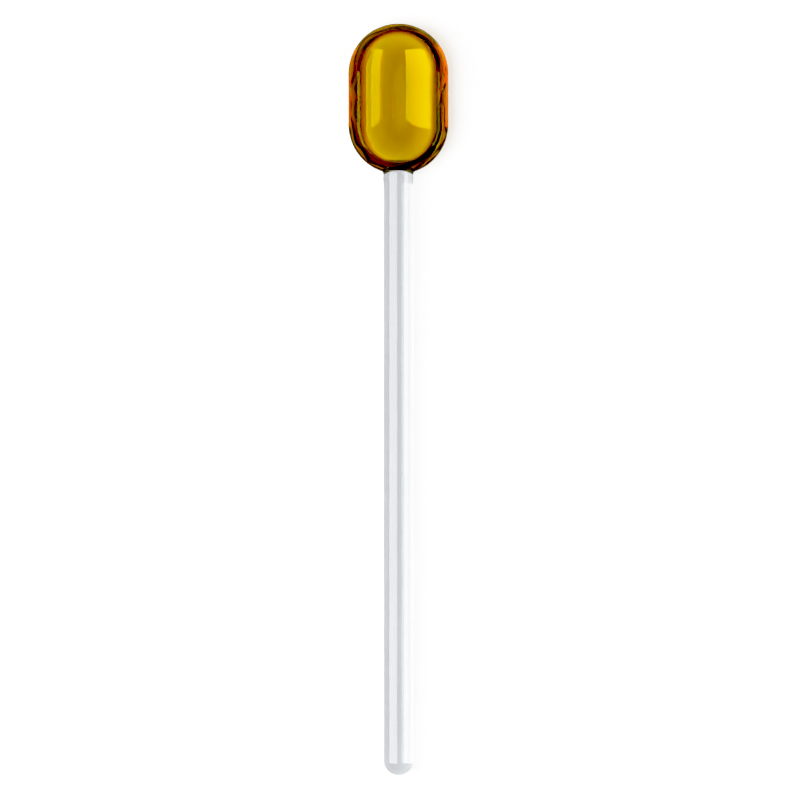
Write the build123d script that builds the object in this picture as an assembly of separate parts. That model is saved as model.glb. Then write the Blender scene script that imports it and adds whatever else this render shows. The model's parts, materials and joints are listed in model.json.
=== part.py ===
"""Glass stirring spoon: an amber glass bowl melted onto the end of a clear glass rod.

The bowl is a shallow thin dish inside a thick rim. The spoon lies on its weld and on the dish with
the mouth up. +Z points out of the mouth, +Y runs along the rod towards the bowl, and the origin is
the middle of the bounding box's underside. Millimetres and degrees.
"""

import os
from math import cos, radians, sin, sqrt, tan

from build123d import *

# Driving dimensions.
OVERALL_LENGTH = 203.0
ROD_DIAMETER = 8.0
BOWL_WIDTH = 26.9
BOWL_LENGTH = 40.6
BOWL_HEIGHT = 8.2
MOUTH_WIDTH = 18.4           # inside the rim, where the dish meets it
MOUTH_LENGTH = 34.0
MOUTH_SHIFT = 0.3            # the mouth's middle is this much further from the rod than the bowl's
DISH_HALF_AXIS = 11.0        # the dish's section is part of an ellipse: half its width,
DISH_DEPTH_AXIS = 7.66       # and half its height
DISH_THICKNESS = 0.85        # glass under the middle of the dish
DISH_THICKENING = 0.3        # the underside's ellipse is this much wider
DISH_OVERLAP = 1.0           # how far the dish's underside carries on under the rim
FOOT_FLAT = 0.25             # depth of the dish's underside lost to the flat that it stands on
RIM_EDGE_HEIGHT = 5.2        # where the rim's outer flank and its underside would meet
RIM_EDGE_RADIUS = 0.45
RIM_FLANK_ANGLE = 42.0       # outer slope of the rim, up from level
RIM_UNDERSIDE_ANGLE = 26.0   # slope of the rim's underside
RIM_CREST_RADIUS = 0.6
RIM_INNER_RADIUS = 0.4
RIM_WALL_LEAN = 0.2          # the rim's inner wall leans outwards by this much per unit of height
WELD_SWELL = 0.12            # how much wider the rod gets where the two glasses meet
WELD_LENGTH = 2.2            # length of that swelling
WELD_CAP = 2.6               # length of the neck's rounded end inside the bowl
WELD_FILLET = 0.6            # amber glass drawn from the bowl onto the rod
SEAM_DEPTH = 0.95            # how far the middle of the rod's end is sunk into the bowl's outline
SEAM_RADIUS = 8.15           # plan radius of the rod's bulging end

# Worked out from them.
rod_radius = ROD_DIAMETER / 2
neck_radius = rod_radius + WELD_SWELL
rod_axis_height = neck_radius         # the swelling lies on the table
bowl_radius = BOWL_WIDTH / 2
mouth_radius = MOUTH_WIDTH / 2
rod_end_y = -OVERALL_LENGTH / 2
bowl_far_y = OVERALL_LENGTH / 2
bowl_near_y = bowl_far_y - BOWL_LENGTH
bowl_middle_y = (bowl_near_y + bowl_far_y) / 2
bowl_straight = BOWL_LENGTH - BOWL_WIDTH
mouth_middle_y = bowl_middle_y + MOUTH_SHIFT
mouth_straight = MOUTH_LENGTH - MOUTH_WIDTH
dish_centre_z = DISH_THICKNESS + DISH_DEPTH_AXIS
crease_z = dish_centre_z - DISH_DEPTH_AXIS * sqrt(1 - (mouth_radius / DISH_HALF_AXIS) ** 2)
seam_y = bowl_near_y + SEAM_DEPTH
seam_centre_y = seam_y - SEAM_RADIUS
weld_y = bowl_near_y - WELD_LENGTH


def rim_section():
    """Half of the rim's section, filled to the centre line: sloping underside, round edge, flank, crest."""
    half_wedge = radians(RIM_FLANK_ANGLE + RIM_UNDERSIDE_ANGLE) / 2
    bisector = radians(RIM_FLANK_ANGLE - RIM_UNDERSIDE_ANGLE) / 2
    apex_x = bowl_radius + RIM_EDGE_RADIUS * (cos(bisector) / sin(half_wedge) - 1)
    crest_x = apex_x - (BOWL_HEIGHT - RIM_EDGE_HEIGHT) / tan(radians(RIM_FLANK_ANGLE))
    underside_x = apex_x - RIM_EDGE_HEIGHT / tan(radians(RIM_UNDERSIDE_ANGLE))
    outline = Polyline(
        (0, 0), (underside_x, 0), (apex_x, RIM_EDGE_HEIGHT), (crest_x, BOWL_HEIGHT), (0, BOWL_HEIGHT),
        close=True,
    )
    face = make_face(outline)
    by_x = face.vertices().sort_by(Axis.X)
    face = fillet(by_x[-1], RIM_EDGE_RADIUS)
    crest = face.vertices().filter_by_position(Axis.Y, BOWL_HEIGHT - 0.01, BOWL_HEIGHT + 0.01)
    return fillet(crest.sort_by(Axis.X)[-1], RIM_CREST_RADIUS)


def dish_underside_section():
    """Half of the dish's outer section: the lower part of an ellipse, flat where it stands."""
    half_axis = DISH_HALF_AXIS + DISH_THICKENING
    depth_axis = dish_centre_z + FOOT_FLAT
    width = mouth_radius + DISH_OVERLAP
    window = Pos(width / 2, crease_z / 2) * Rectangle(width, crease_z)
    return (Pos(0, dish_centre_z) * Ellipse(half_axis, depth_axis)) & window


def mouth_section():
    """Half of what is cut away: the dish's hollow and the space inside the rim."""
    crease = (mouth_radius, crease_z)
    top_z = BOWL_HEIGHT + 1
    top_x = mouth_radius + RIM_WALL_LEAN * (top_z - crease_z)
    window = make_face(Polyline((0, 0), (mouth_radius, 0), crease, (top_x, top_z), (0, top_z), close=True))
    ellipse = Pos(0, dish_centre_z) * Ellipse(DISH_HALF_AXIS, DISH_DEPTH_AXIS)
    upper = make_face(Polyline((0, crease_z), crease, (top_x, top_z), (0, top_z), close=True))
    return (ellipse & window) + upper


def stadium(half, middle_y, straight):
    """A half-section carried round a stadium: a straight trough between two half-round ends."""
    half = Plane.XZ * half
    whole = half + mirror(half, Plane.YZ)
    near_y, far_y = middle_y - straight / 2, middle_y + straight / 2
    trough = extrude(Pos(0, near_y, 0) * whole, straight, dir=(0, 1, 0))
    far_end = Pos(0, far_y, 0) * revolve(half, Axis.Z, 180)
    near_end = Pos(0, near_y, 0) * revolve(half, Axis.Z, -180)
    return trough + far_end + near_end


def along_rod(start_y):
    """A plane across the rod, facing the bowl."""
    return Plane((0, start_y, rod_axis_height), x_dir=(1, 0, 0), z_dir=(0, 1, 0))


def seam_zone():
    """Everything on the rod's side of the curved seam; the seam is an arc in plan."""
    round_part = Pos(0, seam_centre_y, rod_axis_height) * Cylinder(SEAM_RADIUS, 3 * ROD_DIAMETER)
    tip_y = rod_end_y - ROD_DIAMETER
    straight_part = Pos(0, (seam_centre_y + tip_y) / 2, rod_axis_height) * Box(
        2 * SEAM_RADIUS, seam_centre_y - tip_y, 3 * ROD_DIAMETER
    )
    return round_part + straight_part


def stem():
    """Clear solid rod: a hemisphere at the free end, swelling slightly up to the seam with the bowl."""
    tip_y = rod_end_y + rod_radius
    rounded_tip = Pos(0, tip_y, rod_axis_height) * Sphere(rod_radius)
    rod = extrude(along_rod(tip_y) * Circle(rod_radius), weld_y - tip_y)
    swelling = loft([along_rod(weld_y) * Circle(rod_radius), along_rod(bowl_near_y) * Circle(neck_radius)])
    root = extrude(along_rod(bowl_near_y) * Circle(neck_radius), SEAM_DEPTH)
    return rounded_tip + ((rod + swelling + root) & seam_zone())


def neck():
    """Amber plug between the bowl and the rod, with a rounded end under the rim."""
    start_y, end_y = bowl_near_y - 2 * WELD_FILLET, bowl_near_y + 1
    plug = Pos(neck_radius / 2, (start_y + end_y) / 2) * Rectangle(neck_radius, end_y - start_y)
    cap = (Pos(0, end_y) * Ellipse(neck_radius, WELD_CAP)) & (
        Pos(neck_radius / 2, end_y + WELD_CAP / 2) * Rectangle(neck_radius, WELD_CAP)
    )
    return Pos(0, 0, rod_axis_height) * revolve(plug + cap, Axis.Y, 360)


def on_neck(point):
    return Vector(point.X, 0, point.Z - rod_axis_height).length < neck_radius + 0.01


def on_mouth_wall(point):
    """Whether a point is on the rim's inner wall."""
    past_end = max(abs(point.Y - mouth_middle_y) - mouth_straight / 2, 0)
    wall_radius = mouth_radius + RIM_WALL_LEAN * (point.Z - crease_z)
    return abs(Vector(point.X, past_end).length - wall_radius) < 0.01


def edges_along(body, on_surface, lowest_z=0):
    """The body's edges that lie on a surface, above a height."""
    places = (0, 0.25, 0.5, 0.75, 1)
    return [
        edge
        for edge in body.edges()
        if edge.center().Z > lowest_z and all(on_surface(edge.position_at(t)) for t in places)
    ]


def bowl():
    """Rim and dish, with the neck blended in, the mouth cut out and the end cut back to the seam."""
    body = stadium(rim_section(), bowl_middle_y, bowl_straight)
    body += stadium(dish_underside_section(), mouth_middle_y, mouth_straight) + neck()
    meeting = [
        edge
        for edge in edges_along(body, on_neck)
        if abs(edge.center().Y - bowl_near_y) < 2.2 and edge.bounding_box().min.Y > bowl_near_y - WELD_FILLET
    ]
    body = fillet(meeting, WELD_FILLET)
    body -= stadium(mouth_section(), mouth_middle_y, mouth_straight)
    body = fillet(edges_along(body, on_mouth_wall, crease_z + 1), RIM_INNER_RADIUS)
    return body - seam_zone()


os.makedirs("parts", exist_ok=True)
export_step(stem(), "parts/stem.step")
export_step(bowl(), "parts/bowl.step")
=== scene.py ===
"""Looks for the glass stirring spoon: an amber bowl, a clear rod, a pale floor and two long softboxes.

Lengths are in millimetres until a mesh, a light or the camera is made. +X is across the bowl, +Y runs
from the rod's round end to the bowl, and +Z is up out of the bowl's mouth.
"""

import json
import math
from functools import partial

import bpy
import numpy as np
from mathutils import Matrix, Vector


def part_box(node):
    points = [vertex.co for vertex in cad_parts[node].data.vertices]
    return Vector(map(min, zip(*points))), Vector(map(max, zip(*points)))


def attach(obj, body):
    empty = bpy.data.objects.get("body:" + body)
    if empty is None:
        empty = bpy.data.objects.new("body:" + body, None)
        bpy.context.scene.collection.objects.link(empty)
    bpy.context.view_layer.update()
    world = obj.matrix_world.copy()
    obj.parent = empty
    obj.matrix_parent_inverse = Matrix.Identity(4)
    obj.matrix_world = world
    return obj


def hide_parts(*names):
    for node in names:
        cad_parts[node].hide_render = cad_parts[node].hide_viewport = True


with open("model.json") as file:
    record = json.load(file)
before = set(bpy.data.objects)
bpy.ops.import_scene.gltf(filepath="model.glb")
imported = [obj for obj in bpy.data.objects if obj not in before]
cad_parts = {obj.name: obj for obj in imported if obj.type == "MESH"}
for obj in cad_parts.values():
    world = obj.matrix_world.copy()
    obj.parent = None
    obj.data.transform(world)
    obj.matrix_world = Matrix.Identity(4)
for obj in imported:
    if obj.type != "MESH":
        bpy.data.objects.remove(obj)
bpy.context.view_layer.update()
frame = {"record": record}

MM = 0.001

# ---------------------------------------------------------------- sizes read from the frame
bowl_low, bowl_high = (np.array(corner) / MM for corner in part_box("bowl"))
stem_low, stem_high = (np.array(corner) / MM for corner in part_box("stem"))
mounts = {mount["name"]: mount for mount in frame["record"]["mounts"]}
ROD_RADIUS = mounts["handle"]["dims"]["r_mm"]
ROD_Z = mounts["handle"]["pos_m"][2] / MM
NECK_RADIUS = ROD_Z                       # the weld's swelling lies on the table
BOWL_RADIUS = bowl_high[0]
FAR_Y = bowl_high[1]
ROD_END_Y = stem_low[1]
SEAM_Y = stem_high[1]                     # the middle of the seam between the two glasses

# ---------------------------------------------------------------- sizes of the bowl
BOWL_LENGTH = 40.6
MOUTH_RADIUS = 9.2
MOUTH_HALF_LENGTH = 17.0
MOUTH_SHIFT = 0.3                         # the mouth's middle is this much nearer to the far end
DISH_HALF_AXIS, DISH_DEPTH_AXIS = 11.0, 7.66
DISH_THICKNESS = 0.85
DISH_THICKENING = 0.3                     # the underside's ellipse is this much wider
DISH_OFFSET_X = 0.8                       # the hand-pressed dish is deepest a little to one side
DISH_END_POWER = 2.5                      # how late the dish's bottom starts to rise towards its ends
DISH_OVERRUN = 2.2                        # how far the dish's glass carries on up inside the rim
DISH_BLEND = 0.5
FOOT_FLAT = 0.25                          # depth of the dish's underside lost to its flat
RIM_EDGE_Z = 5.2
RIM_EDGE_OVERSHOOT = 0.42                 # how far the flank's and underside's corner is past the edge
RIM_EDGE_BLEND = 0.9
RIM_FLANK = math.radians(42)
RIM_UNDERSIDE = math.radians(26)
RIM_TOP_Z = 8.2
RIM_CREST_BLEND = 0.6
RIM_WALL_BLEND = 0.5
RIM_WALL_LEAN = 0.2                       # the inner wall leans outwards by this much per unit of height
FLANK_WAVINESS = 0.02                     # how far the hand-worked rim strays from its true shape
UNDERSIDE_WAVINESS = 0.1
STEADY_EDGE = 1.2                         # the underside's ripples start this far in from the edge,
RIPPLE_GROWTH = 1.5                       # and are at their full height this much further in
NECK_START = 2.0                          # the amber neck starts this far before the bowl,
NECK_REACH = 1.0                          # is round until this far inside it,
NECK_CAP = 2.0                            # and ends in a cap of this length
NECK_HOLLOW_BLEND = 0.4
WELD_LENGTH = 2.2
WELD_BLEND = 0.5
SEAM_RADIUS = 8.15
SEAM_BLEND = 0.2
SEAM_EDGE = 0.25                          # radius of the rod's rounded edge at the seam
SEAM_GAP = 0.01                           # keeps the two glass surfaces from lying in one place

NEAR_Y = FAR_Y - BOWL_LENGTH
BOWL_MIDDLE_Y = (NEAR_Y + FAR_Y) / 2
BOWL_HALF_STRAIGHT = BOWL_LENGTH / 2 - BOWL_RADIUS
MOUTH_MIDDLE_Y = BOWL_MIDDLE_Y + MOUTH_SHIFT
MOUTH_HALF_STRAIGHT = MOUTH_HALF_LENGTH - MOUTH_RADIUS
DISH_CENTRE_Z = DISH_THICKNESS + DISH_DEPTH_AXIS
CREASE_Z = DISH_CENTRE_Z - DISH_DEPTH_AXIS * math.sqrt(1 - (MOUTH_RADIUS / DISH_HALF_AXIS) ** 2)
SEAM_CENTRE_Y = SEAM_Y - SEAM_RADIUS
WELD_Y = NEAR_Y - WELD_LENGTH

# ---------------------------------------------------------------- meshing
CELL = 0.22
BOWL_MARGIN = 1.0                         # how far the meshed space goes past the bowl
ROD_SEGMENTS = 128
TIP_RINGS, SHAFT_RINGS, WELD_RINGS, EDGE_RINGS, END_RINGS = 24, 80, 16, 6, 16

# ---------------------------------------------------------------- light and camera
CAMERA_DISTANCE = 1200.0
CAMERA_X, CAMERA_Y = 0.45, -0.08
FIELD_WIDTH = 216.2                       # what the frame's width covers at the rod's height
SENSOR_WIDTH = 36.0
HORIZON_LIGHT = 1.25
SKY_LIGHT = 0.25                          # the room above the bright horizon
HORIZON_FADE = (0.06, 0.12)               # sines of the elevations between which one becomes the other
FLOOR_SIZE = 2400.0
FLOOR_DROP = 0.05                         # keeps the floor clear of the glass that lies on it
FLOOR_COLOUR = (0.62, 0.62, 0.62)
FLOOR_GLOW = 0.45                         # light coming up through the table top
FAR_FLOOR_GLOW = 1.05
FLOOR_GLOW_FADE = (300.0, 1100.0)         # distances between which one becomes the other
SOFTBOX_DISTANCE = 700.0
SOFTBOX_NEAR_Y, SOFTBOX_FAR_Y = -330.0, 180.0
SOFTBOX_END_SHARE = 0.75                  # how bright a softbox's +Y end is, next to its other end
SOFTBOX_SLANT = 0.08                      # how much further its ends reach on one edge, over its length
SOFTBOX_CUT = (0.43, 0.46)                # where its soft ends start and stop: shares of its length
BLACK_LEVEL, WHITE_LEVEL = 0.05, 1.35
SHOULDER = ((0.25, 0.342), (0.5, 0.684), (0.66, 0.87), (0.83, 0.96))   # brightness and how it is shown


def smooth_min(a, b, width):
    share = np.clip(0.5 + 0.5 * (b - a) / width, 0, 1)
    return b * (1 - share) + a * share - width * share * (1 - share)


def smooth_max(a, b, width):
    return -smooth_min(-a, -b, width)


def stadium_distance(x, y, middle_y, half_straight):
    """Distance in plan from a stadium's middle line."""
    past_end = np.maximum(np.abs(y - middle_y) - half_straight, 0)
    return np.sqrt(x * x + past_end * past_end + 1e-12)


def ellipse_distance(across, down, half_width, half_height):
    """About the distance to an ellipse's outline, negative inside."""
    size = np.sqrt((across / half_width) ** 2 + (down / half_height) ** 2 + 1e-9)
    slope = np.sqrt((across / half_width**2) ** 2 + (down / half_height**2) ** 2 + 1e-12)
    return size * (size - 1) / slope


def dish_fields(x, y, z):
    """The thin dish, and the hollow in it."""
    along = np.abs(y - MOUTH_MIDDLE_Y) / MOUTH_HALF_LENGTH
    along = MOUTH_RADIUS * along**DISH_END_POWER
    across = np.sqrt((x - DISH_OFFSET_X) ** 2 + along**2 + 1e-12)
    down = DISH_CENTRE_Z - z
    underside = ellipse_distance(
        across, down, DISH_HALF_AXIS + DISH_THICKENING, DISH_CENTRE_Z + FOOT_FLAT
    )
    hollow = ellipse_distance(across, np.maximum(down, 0), DISH_HALF_AXIS, DISH_DEPTH_AXIS)
    return np.maximum(np.maximum(underside, -hollow), z - CREASE_Z - DISH_OVERRUN), hollow


def rim_field(x, y, z):
    """The rim, with the slow lumps and finer ripples of glass worked by hand on its outer slopes."""
    outline = stadium_distance(x, y, BOWL_MIDDLE_Y, BOWL_HALF_STRAIGHT)
    mouth = stadium_distance(x, y, MOUTH_MIDDLE_Y, MOUTH_HALF_STRAIGHT)
    inward = BOWL_RADIUS - outline + RIM_EDGE_OVERSHOOT
    lump = np.sin(0.55 * y + 1.0 + 1.7 * np.sin(0.35 * x)) * np.sin(0.83 * x + 0.4 * y + 0.6)
    ripple = np.sin(2.1 * inward + 2.2 * np.sin(0.31 * y + 0.4 * x) + 0.9 * np.sin(0.83 * y - 0.6 * x))
    growth = np.clip((inward - STEADY_EDGE) / RIPPLE_GROWTH, 0, 1)
    flank = (z - RIM_EDGE_Z - inward * math.tan(RIM_FLANK)) * math.cos(RIM_FLANK)
    flank = flank + FLANK_WAVINESS * lump
    under = (RIM_EDGE_Z - inward * math.tan(RIM_UNDERSIDE) - z) * math.cos(RIM_UNDERSIDE)
    under = under + UNDERSIDE_WAVINESS * (ripple + 0.6 * lump) * growth
    wall = MOUTH_RADIUS - mouth + RIM_WALL_LEAN * (z - CREASE_Z)
    rim = smooth_max(flank, under, RIM_EDGE_BLEND)
    return smooth_max(rim, smooth_max(wall, z - RIM_TOP_Z, RIM_WALL_BLEND), RIM_CREST_BLEND)


def neck_field(x, y, z):
    """The round amber plug between the rod and the bowl, with its rounded end under the rim."""
    into_bowl = np.maximum(y - NEAR_Y - NECK_REACH, 0) * NECK_RADIUS / NECK_CAP
    neck = np.sqrt(x * x + (z - ROD_Z) ** 2 + into_bowl**2) - NECK_RADIUS
    return np.maximum(neck, NEAR_Y - NECK_START - y)


def bowl_field(points):
    """About the distance to the bowl's surface, negative in the glass."""
    x, y, z = points[..., 0], points[..., 1], points[..., 2]
    dish, hollow = dish_fields(x, y, z)
    body = smooth_min(rim_field(x, y, z), dish, DISH_BLEND)
    neck = smooth_max(neck_field(x, y, z), -hollow, NECK_HOLLOW_BLEND)
    body = smooth_min(body, neck, WELD_BLEND)
    body = np.maximum(body, -z)
    seam = np.sqrt(x * x + (y - SEAM_CENTRE_Y) ** 2) - (SEAM_RADIUS + SEAM_GAP)
    return smooth_max(body, -seam, SEAM_BLEND)


def gradient(field, points, step=1e-3):
    result = np.empty_like(points)
    for axis in range(3):
        offset = np.zeros(3)
        offset[axis] = step
        result[..., axis] = (field(points + offset) - field(points - offset)) / (2 * step)
    return result


def surface_net(field, low, high, cell):
    """Quads round the field's zero surface, with each corner moved onto it."""
    axes = [np.arange(low[i], high[i] + cell, cell) for i in range(3)]
    grid = np.stack(np.meshgrid(*axes, indexing="ij"), -1)
    values = field(grid)
    inside = values < 0
    cell_counts = [n - 1 for n in values.shape]
    counts = np.zeros(cell_counts, int)
    corners = [(i, j, k) for i in (0, 1) for j in (0, 1) for k in (0, 1)]
    for corner in corners:
        counts += inside[tuple(slice(first, first + n) for first, n in zip(corner, cell_counts))]
    crossed = (counts > 0) & (counts < 8)
    cells = np.argwhere(crossed)
    number = -np.ones(crossed.shape, int)
    number[crossed] = np.arange(len(cells))

    total, hits = np.zeros((len(cells), 3)), np.zeros(len(cells))
    for start in corners:
        for axis in range(3):
            if start[axis]:
                continue
            end = list(start)
            end[axis] = 1
            a = values[tuple((cells + start).T)]
            b = values[tuple((cells + end).T)]
            hit = (a < 0) != (b < 0)
            place = np.tile(np.array(start, float), (len(cells), 1))
            place[:, axis] = np.where(hit, a / np.where(a == b, 1, a - b), 0)
            total[hit] += place[hit]
            hits[hit] += 1
    points = (cells + total / hits[:, None]) * cell + np.array(low)
    for _ in range(6):
        slope = gradient(field, points)
        move = field(points)[:, None] * slope / np.maximum((slope**2).sum(-1, keepdims=True), 1e-6)
        size = np.linalg.norm(move, axis=-1, keepdims=True)
        points = points - move * np.minimum(1, 0.3 * cell / np.maximum(size, 1e-9))

    quads = []
    for axis in range(3):
        u, w = [(1, 2), (2, 0), (0, 1)][axis]
        before, after = [slice(None)] * 3, [slice(None)] * 3
        before[axis], after[axis] = slice(0, -1), slice(1, None)
        first, second = inside[tuple(before)], inside[tuple(after)]
        edges = np.argwhere(first != second)
        whole = np.ones(len(edges), bool)
        for side in (u, w):
            whole &= (edges[:, side] > 0) & (edges[:, side] < values.shape[side] - 1)
        edges = edges[whole]

        def cell_at(back_u, back_w):
            place = edges.copy()
            place[:, u] -= back_u
            place[:, w] -= back_w
            return number[tuple(place.T)]

        quad = np.stack([cell_at(1, 1), cell_at(0, 1), cell_at(0, 0), cell_at(1, 0)], 1)
        outwards = first[tuple(edges.T)]
        quad[~outwards] = quad[~outwards][:, ::-1]
        quads.append(quad)
    return points, np.concatenate(quads)


def add_mesh(name, points, faces, normals=None):
    mesh = bpy.data.meshes.new(name)
    mesh.from_pydata((np.asarray(points) * MM).tolist(), [], [list(map(int, face)) for face in faces])
    mesh.shade_smooth()
    if normals is not None:
        mesh.normals_split_custom_set_from_vertices(normals.tolist())
    piece = bpy.data.objects.new(name, mesh)
    bpy.context.scene.collection.objects.link(piece)
    return piece


def make_bowl():
    low = (bowl_low[0] - BOWL_MARGIN, NEAR_Y - NECK_START, -BOWL_MARGIN)
    high = (bowl_high[0] + BOWL_MARGIN, FAR_Y + BOWL_MARGIN, bowl_high[2] + BOWL_MARGIN)
    points, quads = surface_net(bowl_field, low, high, CELL)
    normals = gradient(bowl_field, points)
    normals /= np.linalg.norm(normals, axis=-1, keepdims=True)
    return add_mesh("bowl_glass", points, quads, normals)


def seam_arc(x, back=0.0, share=1.0):
    """The seam in plan, moved back from the bowl and flattened towards the arc's centre."""
    return SEAM_CENTRE_Y + (np.sqrt(SEAM_RADIUS**2 - x * x) - back) * share


def rod_rings():
    """The rod's rings from tip to seam, each a radius and a function from x to y."""
    tip_y = ROD_END_Y + ROD_RADIUS
    rings = []
    for step in range(1, TIP_RINGS + 1):
        turn = math.pi / 2 * step / TIP_RINGS
        y = tip_y - ROD_RADIUS * math.cos(turn)
        rings.append((ROD_RADIUS * math.sin(turn), lambda x, y=y: y))
    for step in range(1, SHAFT_RINGS + 1):
        y = tip_y + (SEAM_CENTRE_Y - tip_y) * step / SHAFT_RINGS
        rings.append((ROD_RADIUS, lambda x, y=y: y))
    for step in range(1, WELD_RINGS + 1):
        share = step / WELD_RINGS
        y = SEAM_CENTRE_Y + share * (SEAM_Y - SEAM_CENTRE_Y)
        swell = (NECK_RADIUS - ROD_RADIUS) * float(np.clip((y - WELD_Y) / WELD_LENGTH, 0, 1)) ** 2
        rings.append((ROD_RADIUS + swell, partial(seam_arc, back=SEAM_EDGE, share=share)))
    for step in range(1, EDGE_RINGS + 1):
        turn = math.pi / 2 * step / EDGE_RINGS
        radius = NECK_RADIUS - SEAM_EDGE + SEAM_EDGE * math.cos(turn)
        rings.append((radius, partial(seam_arc, back=SEAM_EDGE * (1 - math.sin(turn)))))
    for step in range(1, END_RINGS):
        rings.append(((NECK_RADIUS - SEAM_EDGE) * (1 - step / END_RINGS), seam_arc))
    return rings


def make_rod():
    rings = rod_rings()
    turns = np.arange(ROD_SEGMENTS) * 2 * math.pi / ROD_SEGMENTS
    points = [(0, ROD_END_Y, ROD_Z)]
    for radius, along in rings:
        x = radius * np.sin(turns)
        y = along(x) * np.ones(ROD_SEGMENTS)
        points += np.stack([x, y, ROD_Z + radius * np.cos(turns)], 1).tolist()
    points.append((0, SEAM_Y, ROD_Z))
    faces = []
    for i in range(ROD_SEGMENTS):
        following = (i + 1) % ROD_SEGMENTS
        faces.append((0, 1 + following, 1 + i))
        for ring in range(len(rings) - 1):
            a = 1 + ring * ROD_SEGMENTS
            b = a + ROD_SEGMENTS
            faces.append((a + i, a + following, b + following, b + i))
        end = 1 + (len(rings) - 1) * ROD_SEGMENTS
        faces.append((end + i, end + following, len(points) - 1))
    return add_mesh("rod_glass", points, faces)


def add_node(tree, kind, inputs=(), **settings):
    node = tree.nodes.new(kind)
    for name, value in settings.items():
        setattr(node, name, value)
    for name, value in dict(inputs).items():
        node.inputs[name].default_value = value
    return node


def glass(name, tint, ior, absorbs, density, specular_tint, streaks, bump, roughness):
    """Coloured glass: smooth surface, absorbing volume, faint striae in the surface.

    tint colours the light that goes in or out, and specular_tint the reflections. absorbs is how
    strongly red, green and blue are taken up, from 0 to 1, and density how strongly in all, per
    metre. streaks is the striae's scale along x, y and z, about in waves per metre, bump their
    height in metres, and roughness the range that they vary it over.
    """
    material = bpy.data.materials.new(name)
    material.use_nodes = True
    tree = material.node_tree
    tree.nodes.clear()
    link = tree.links.new
    surface = add_node(
        tree,
        "ShaderNodeBsdfPrincipled",
        {
            "Base Color": (*tint, 1),
            "Transmission Weight": 1,
            "IOR": ior,
            "Specular Tint": (*specular_tint, 1),
        },
    )
    volume = add_node(
        tree,
        "ShaderNodeVolumeAbsorption",
        {"Color": (*[1 - a for a in absorbs], 1), "Density": density},
    )
    output = add_node(tree, "ShaderNodeOutputMaterial")
    place = add_node(tree, "ShaderNodeTexCoord")
    stretch = add_node(tree, "ShaderNodeMapping", {"Scale": streaks})
    striae = add_node(tree, "ShaderNodeTexNoise", {"Scale": 1, "Detail": 2, "Distortion": 0.6})
    relief = add_node(tree, "ShaderNodeBump", {"Strength": 1, "Distance": bump})
    haze = add_node(tree, "ShaderNodeMapRange", {"To Min": roughness[0], "To Max": roughness[1]})
    link(place.outputs["Object"], stretch.inputs["Vector"])
    link(stretch.outputs["Vector"], striae.inputs["Vector"])
    link(striae.outputs["Fac"], relief.inputs["Height"])
    link(striae.outputs["Fac"], haze.inputs["Value"])
    link(haze.outputs["Result"], surface.inputs["Roughness"])
    link(relief.outputs["Normal"], surface.inputs["Normal"])
    link(surface.outputs["BSDF"], output.inputs["Surface"])
    link(volume.outputs["Volume"], output.inputs["Volume"])
    return material


def make_floor():
    """A matt pale table top with a faint glow, brighter far away so that it joins the horizon."""
    bpy.ops.mesh.primitive_plane_add(size=FLOOR_SIZE * MM, location=(0, 0, -FLOOR_DROP * MM))
    floor = bpy.context.object
    floor.name = "floor"
    material = bpy.data.materials.new("matt_floor")
    material.use_nodes = True
    surface = material.node_tree.nodes["Principled BSDF"]
    surface.inputs["Base Color"].default_value = (*FLOOR_COLOUR, 1)
    surface.inputs["Roughness"].default_value = 0.9
    surface.inputs["Specular IOR Level"].default_value = 0
    surface.inputs["Emission Color"].default_value = (1, 1, 1, 1)
    tree = material.node_tree
    place = add_node(tree, "ShaderNodeNewGeometry")
    distance = add_node(tree, "ShaderNodeVectorMath", operation="LENGTH")
    glow = add_node(
        tree,
        "ShaderNodeMapRange",
        {
            "From Min": FLOOR_GLOW_FADE[0] * MM,
            "From Max": FLOOR_GLOW_FADE[1] * MM,
            "To Min": FLOOR_GLOW,
            "To Max": FAR_FLOOR_GLOW,
        },
    )
    tree.links.new(place.outputs["Position"], distance.inputs[0])
    tree.links.new(distance.outputs["Value"], glow.inputs["Value"])
    tree.links.new(glow.outputs["Result"], surface.inputs["Emission Strength"])
    floor.data.materials.append(material)


def shape_softbox(light, slant):
    """Dims a softbox towards its +Y end, and cuts both of its ends at a slant, with a soft edge."""
    light.use_nodes = True
    tree = light.node_tree
    link = tree.links.new
    place = add_node(tree, "ShaderNodeNewGeometry")
    split = add_node(tree, "ShaderNodeSeparateXYZ")
    shift = add_node(tree, "ShaderNodeMath", {1: slant, 2: -slant / 2 - 0.5}, operation="MULTIPLY_ADD")
    along = add_node(tree, "ShaderNodeMath", operation="ADD")
    from_middle = add_node(tree, "ShaderNodeMath", operation="ABSOLUTE")
    cut = add_node(
        tree,
        "ShaderNodeMapRange",
        {"From Min": SOFTBOX_CUT[0], "From Max": SOFTBOX_CUT[1], "To Min": 1, "To Max": 0},
        interpolation_type="SMOOTHSTEP",
    )
    dim = add_node(tree, "ShaderNodeMapRange", {"To Min": 1, "To Max": SOFTBOX_END_SHARE})
    strength = add_node(tree, "ShaderNodeMath", operation="MULTIPLY")
    link(place.outputs["Parametric"], split.inputs[0])
    link(split.outputs["X"], shift.inputs[0])
    link(split.outputs["Y"], along.inputs[0])
    link(shift.outputs[0], along.inputs[1])
    link(along.outputs[0], from_middle.inputs[0])
    link(from_middle.outputs[0], cut.inputs["Value"])
    link(split.outputs["Y"], dim.inputs["Value"])
    link(dim.outputs["Result"], strength.inputs[0])
    link(cut.outputs["Result"], strength.inputs[1])
    link(strength.outputs[0], tree.nodes["Emission"].inputs["Strength"])


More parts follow.
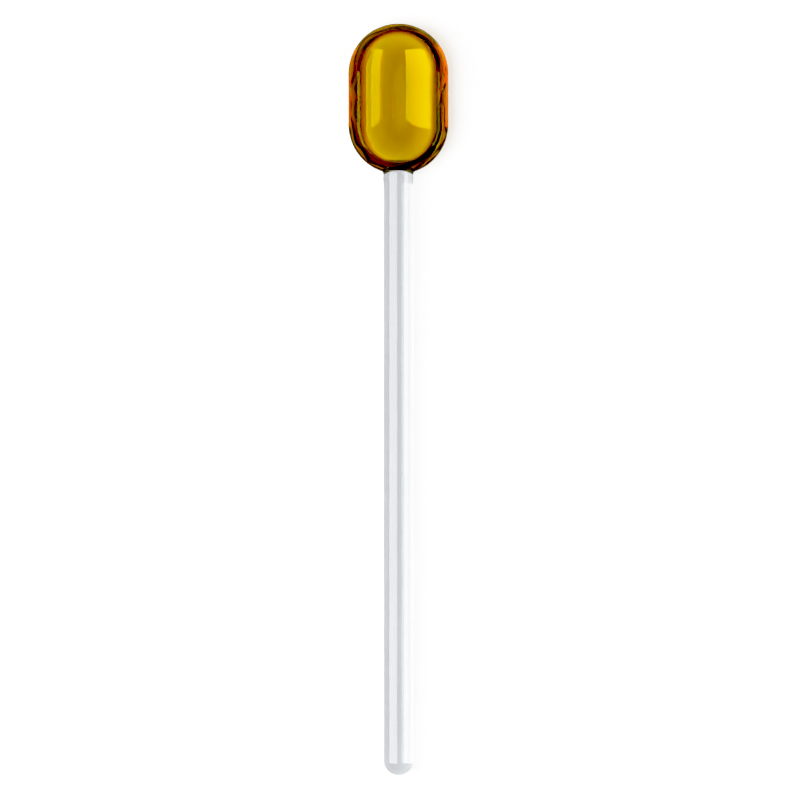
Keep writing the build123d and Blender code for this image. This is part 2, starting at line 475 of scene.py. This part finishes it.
def add_softbox(name, side, low_angle, high_angle, radiance):
    """A long softbox beside the spoon, dimmer towards its +Y end.

    It spans two angles from straight up, on the +X side (side 1) or the -X side (side -1).
    """
    ends = [
        Vector((side * math.sin(math.radians(a)), 0, math.cos(math.radians(a)))) * SOFTBOX_DISTANCE
        for a in (low_angle, high_angle)
    ]
    light = bpy.data.lights.new(name, "AREA")
    light.shape = "RECTANGLE"
    light.size = (ends[1] - ends[0]).length * MM
    light.size_y = (SOFTBOX_FAR_Y - SOFTBOX_NEAR_Y) * MM
    light.energy = radiance * math.pi * light.size * light.size_y
    away = (ends[0] + ends[1]).normalized()
    across = Vector((0, 1, 0)).cross(away)
    box = bpy.data.objects.new(name, light)
    box.matrix_world = Matrix.Translation(
        ((ends[0] + ends[1]) / 2 + Vector((0, (SOFTBOX_NEAR_Y + SOFTBOX_FAR_Y) / 2, 0))) * MM
    ) @ Matrix((across, away.cross(across), away)).transposed().to_4x4()
    bpy.context.scene.collection.objects.link(box)
    shape_softbox(light, -SOFTBOX_SLANT * side)


def light_studio():
    add_softbox("left", side=-1, low_angle=9, high_angle=75, radiance=8.3)
    add_softbox("right", side=1, low_angle=45, high_angle=80, radiance=6.3)
    world = bpy.data.worlds.new("studio")
    world.use_nodes = True
    tree = world.node_tree
    direction = add_node(tree, "ShaderNodeTexCoord")
    split = add_node(tree, "ShaderNodeSeparateXYZ")
    sky = add_node(
        tree,
        "ShaderNodeMapRange",
        {
            "From Min": HORIZON_FADE[0],
            "From Max": HORIZON_FADE[1],
            "To Min": HORIZON_LIGHT,
            "To Max": SKY_LIGHT,
        },
    )
    tree.links.new(direction.outputs["Generated"], split.inputs[0])
    tree.links.new(split.outputs["Z"], sky.inputs["Value"])
    tree.links.new(sky.outputs["Result"], tree.nodes["Background"].inputs["Strength"])
    tree.nodes["Background"].inputs["Color"].default_value = (1, 1, 1, 1)
    bpy.context.scene.world = world


def set_picture():
    """More contrast than plain light gives, soft highlights, and enough bounces for clear glass."""
    scene = bpy.context.scene
    view = scene.view_settings
    view.view_transform = "Standard"
    view.use_curve_mapping = True
    view.curve_mapping.black_level = (BLACK_LEVEL,) * 3
    view.curve_mapping.white_level = (WHITE_LEVEL,) * 3
    shoulder = view.curve_mapping.curves[3].points
    for brightness, shown in SHOULDER:
        shoulder.new(brightness, shown)
    view.curve_mapping.update()
    cycles = scene.cycles
    cycles.max_bounces = 32
    cycles.transmission_bounces = 24
    cycles.glossy_bounces = 12
    cycles.diffuse_bounces = 4


def add_camera():
    camera = bpy.data.cameras.new("camera")
    camera.sensor_width = SENSOR_WIDTH
    camera.lens = SENSOR_WIDTH * CAMERA_DISTANCE / FIELD_WIDTH
    camera.clip_start, camera.clip_end = 0.01, 20
    holder = bpy.data.objects.new("camera", camera)
    holder.location = (CAMERA_X * MM, CAMERA_Y * MM, (ROD_Z + CAMERA_DISTANCE) * MM)
    bpy.context.scene.collection.objects.link(holder)
    bpy.context.scene.camera = holder


bowl = make_bowl()
bowl.data.materials.append(
    glass(
        "amber_glass",
        tint=(1, 1, 1),
        ior=1.5,
        absorbs=(0.085, 0.168, 1.0),
        density=4800,
        specular_tint=(0.9, 0.85, 0.1),
        streaks=(90, 60, 90),
        bump=0.00001,
        roughness=(0.0, 0.02),
    )
)
rod = make_rod()
rod.data.materials.append(
    glass(
        "clear_glass",
        tint=(0.75, 0.765, 0.78),
        ior=1.47,
        absorbs=(1.0, 0.9, 0.85),
        density=5,
        specular_tint=(1, 1, 1),
        streaks=(300, 12, 300),
        bump=0.000002,
        roughness=(0.0, 0.02),
    )
)
for piece, node, slot in ((bowl, "bowl", "amber_glass"), (rod, "stem", "clear_glass")):
    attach(piece, "root")
    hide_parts(node)
make_floor()
light_studio()
set_picture()
add_camera()
